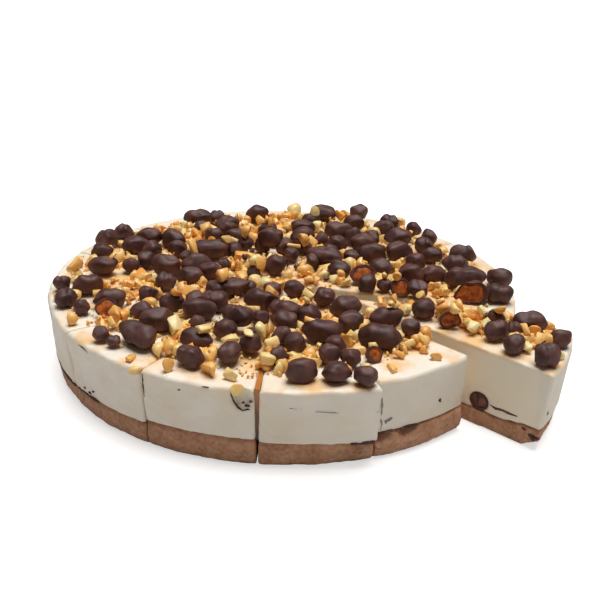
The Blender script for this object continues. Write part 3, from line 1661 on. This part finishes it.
    def on_side(self, azimuth: float, height_mm: float) -> tuple[Vector, Vector]:
        """A point of the cream's outer side, and the way out of it.

        Args:
            azimuth: The point's azimuth.
            height_mm: Its height.

        Returns:
            The point, and the way out of the side.
        """
        piece = self.slice_at(azimuth)
        lean = (CAKE_RADIUS - CREAM_FOOT_RADIUS) / (CAKE_HEIGHT - CREAM_FOOT_HEIGHT)
        across = (azimuth - piece.start) % 360 / SLICE_ANGLE
        reach = piece.reach_start + (piece.reach_end - piece.reach_start) * across
        radius = (CAKE_RADIUS - lean * (CAKE_HEIGHT - height_mm / 1000)) * reach
        return polar(azimuth, radius, height_mm / 1000) + piece.shift, polar(azimuth, 1.0)

    def on_face(self, radius_mm: float, height_mm: float) -> tuple[Vector, Vector]:
        """A point of the drawn slice's first cut face, and the way out of it.

        Args:
            radius_mm: The point's radius.
            height_mm: Its height.

        Returns:
            The point, and the way out of the face.
        """
        piece = self.plan.slices[DRAWN_SLICE - 1]
        place = polar(piece.start, radius_mm / 1000, height_mm / 1000) + piece.shift
        return place, polar(piece.start - 90, 1.0)

    @staticmethod
    def line(path: list[tuple[Vector, Vector]], width: float, thick: float) -> tuple[Shape, np.ndarray]:
        """Lays a thin band with pointed ends along a path, half sunk in the surface.

        Args:
            path: Points of the surface, each with the way out of it.
            width: The band's greatest width.
            thick: How thick it is.

        Returns:
            The band's shape, and its points.
        """
        steps = 6 * (len(path) - 1)
        rings = []
        for step in range(steps + 1):
            low = min(step // 6, len(path) - 2)
            share = step / 6 - low
            middle = path[low][0].lerp(path[low + 1][0], share)
            out = path[low][1].lerp(path[low + 1][1], share).normalized()
            along = (path[low + 1][0] - path[low][0]).normalized()
            beside = along.cross(out)
            taper = math.sin(math.pi * (0.04 + 0.92 * step / steps)) ** 0.6
            wide = width / 2 * taper * (1 + 0.5 * noise.noise(middle * 700))
            for side, lift in ((wide, 0.0), (0.0, thick / 2), (-wide, 0.0), (0.0, -thick / 2)):
                rings.append(middle + beside * side + out * lift)
        faces = [(3, 2, 1, 0), tuple(range(4 * steps, 4 * steps + 4))]
        for ring in range(0, 4 * steps, 4):
            for corner, after in ((0, 1), (1, 2), (2, 3), (3, 0)):
                faces.append((ring + corner, ring + after, ring + 4 + after, ring + 4 + corner))
        points = np.array(rings)
        return Shape(points, faces), points

    def mark_side(
        self, target: Gathered, marks: list[tuple], thick: float, chips: list[Shape], draw: random.Random
    ) -> None:
        """Presses lumps into the outer side, so that half of each stands out.

        Args:
            target: The piece that takes them.
            marks: Azimuth, height, length and height of each lump.
            thick: How thick a lump is.
            chips: The chip shapes.
            draw: The seeded source of variation.
        """
        for azimuth, height_mm, length_mm, tall_mm in marks:
            place, _ = self.on_side(azimuth, height_mm)
            size = Matrix.Diagonal((length_mm / 1000, thick, tall_mm / 1000))
            turn = Matrix.Rotation(math.radians(azimuth), 3, "Z")
            turn = turn @ Matrix.Rotation(draw.uniform(-0.3, 0.3), 3, "Y")
            shape = draw.choice(chips[:3])
            target.add(shape, shape.points @ np.array(turn @ size).T + np.array(place), 0.55)


@dataclass
class GapCaramel:
    """Caramel that ran into the open cut between slices 14 and 01, and down its outer end."""

    plan: CakePlan
    inner: float = 0.055
    top: float = CAKE_HEIGHT - 0.0006
    bottom: float = 0.0150
    set_back: float = 0.0008
    opening: float = 0.9
    filled: float = 0.94
    sagging: float = 0.0009

    def build(self, caramel: Material) -> None:
        """Builds the thin wedge of caramel.

        Args:
            caramel: The caramel's material.
        """
        deselect_all()
        bpy.ops.mesh.primitive_cube_add(size=1.0)
        obj = bpy.context.object
        obj.name = "run_caramel"
        with editing():
            bpy.ops.mesh.subdivide(number_cuts=14)
        points = points_of(obj.data)
        placed = np.empty_like(points)
        for row, (across, along, up) in enumerate(points + 0.5):
            height = self.bottom + (self.top - self.bottom) * up
            drop = (CAKE_HEIGHT - height) / (CAKE_HEIGHT - CREAM_FOOT_HEIGHT)
            outer = CAKE_RADIUS - self.set_back - (CAKE_RADIUS - CREAM_FOOT_RADIUS) * drop
            radius = self.inner + (outer - self.inner) * along
            gap = KNIFE_GAP + math.radians(self.opening * height / CAKE_HEIGHT) * radius
            sag = self.sagging * noise.noise(Vector((radius * 140, height * 90, 1.3)))
            outwards, upwards = (sag if edge > 0.9 else 0.0 for edge in (along, up))
            middle = polar(FIRST_CUT, radius + outwards, height + upwards)
            placed[row] = middle + polar(FIRST_CUT + 90, (across - 0.5) * gap * self.filled) + self.plan.axis
        set_points(obj.data, placed)
        obj.data.materials.append(caramel)
        bpy.ops.object.shade_smooth_by_angle(angle=math.radians(50))
        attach(obj, "root")
        LOG.info("run_caramel: %d faces", len(obj.data.polygons))


@dataclass
class Studio:
    """A plain pale floor, soft light from above, and the camera at the photograph's angle."""

    plan: CakePlan
    elevation: float = 26.1793
    distance: float = 4.547923
    yaw: float = 1.06849
    pitch: float = 23.31578
    roll: float = 1.71465
    lens: float = 60.0
    board: str = "#DAD9D7"
    board_glow: float = 0.60
    sun_strength: float = 3.35
    sun_angle: float = 44.0
    sun_tilt: tuple[float, float, float] = (-8, 5, 0)
    sky_strength: float = 0.10

    def floor(self) -> None:
        """Lays the floor, which is stage and no part of the cake."""
        deselect_all()
        bpy.ops.mesh.primitive_plane_add(size=12.0, location=(0, 0, -0.0002))
        obj = bpy.context.object
        obj.name = "floor"
        paint = Paint("white studio board")
        # The board is exposed to near white in the photograph, while it throws little light back on the cake
        seen = add_node(paint.tree, "ShaderNodeLightPath").outputs["Is Camera Ray"]
        glow = paint.maths("MULTIPLY", seen, self.board_glow)
        inputs = {"Base Color": srgb(self.board), "Roughness": 0.9, "Emission Color": srgb("#FFFFFF")}
        dress(obj, paint.finish({**inputs, "Emission Strength": glow}))

    def light(self) -> None:
        """Sets a wide soft light high above the cake, and a pale world."""
        lamp = bpy.data.lights.new("key", "SUN")
        lamp.energy = self.sun_strength
        lamp.angle = math.radians(self.sun_angle)
        link_new("key", lamp).rotation_euler = [math.radians(turn) for turn in self.sun_tilt]
        world = bpy.data.worlds.new("pale studio")
        world.use_nodes = True
        tree = world.node_tree
        background = tree.nodes["Background"]
        seen = add_node(tree, "ShaderNodeLightPath").outputs["Is Camera Ray"]
        inputs = {0: seen, 2: self.sky_strength, 3: 1.0}
        strength = add_node(tree, "ShaderNodeMix", inputs, data_type="FLOAT")
        feed(tree, background, {"Color": srgb("#FFFDFA"), "Strength": strength.outputs[0]})
        bpy.context.scene.world = world

    def camera(self) -> None:
        """Sets the camera where the photograph was taken from."""
        yaw, pitch, roll = (math.radians(angle) for angle in (self.yaw, self.pitch, self.roll))
        look = Vector((math.sin(yaw) * math.cos(pitch), math.cos(yaw) * math.cos(pitch), -math.sin(pitch)))
        right = Vector((math.cos(yaw), -math.sin(yaw), 0))
        up = right.cross(look)
        level_right = math.cos(roll) * right + math.sin(roll) * up
        level_up = -math.sin(roll) * right + math.cos(roll) * up
        matrix = Matrix((level_right, level_up, -look)).transposed().to_4x4()
        reach = self.distance * CAKE_RADIUS
        rise = math.radians(self.elevation)
        matrix.translation = Vector((0, -reach * math.cos(rise), reach * math.sin(rise))) + self.plan.axis
        data = bpy.data.cameras.new("camera")
        data.lens = self.lens
        data.sensor_width = 36.0
        data.clip_start = 0.01
        data.clip_end = 50.0
        obj = link_new("camera", data)
        obj.matrix_world = matrix
        bpy.context.scene.camera = obj
        bpy.context.scene.view_settings.view_transform = "Standard"


def main() -> None:
    """Builds the dressed cheesecake in order, and reports each piece."""
    logging.basicConfig(level=logging.INFO, format="%(name)s: %(message)s")
    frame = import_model()
    base = next(mount for mount in frame["record"]["mounts"] if mount["name"] == "base")
    axis = Vector(base["pos_m"]) - polar(MOUNT_AZIMUTH, MOUNT_RADIUS)
    plan = CakePlan(axis)
    studio = Studio(plan)
    studio.camera()
    studio.floor()
    studio.light()
    cream = SetCream().build()
    biscuit = BiscuitCrumb().build()
    chocolate = MilkChocolate().build()
    caramel = SoftCaramel().build()
    peanut = RoastedPeanut().build()
    layers = Layers(plan)
    for piece in plan.slices:
        layers.cream(piece, cream)
        layers.biscuit(piece, biscuit)
    CoatedCaramels(plan).build(chocolate, caramel)
    HalfCaramel(plan).build(chocolate, SoftCaramel("dull caramel", "#8C5B45", "#4E2C22", 0.45).build())
    ChoppedPeanuts(plan, Ground(plan)).build(peanut, chocolate)
    GapCaramel(plan).build(RunCaramel().build())


if __name__ == "__main__":
    main()
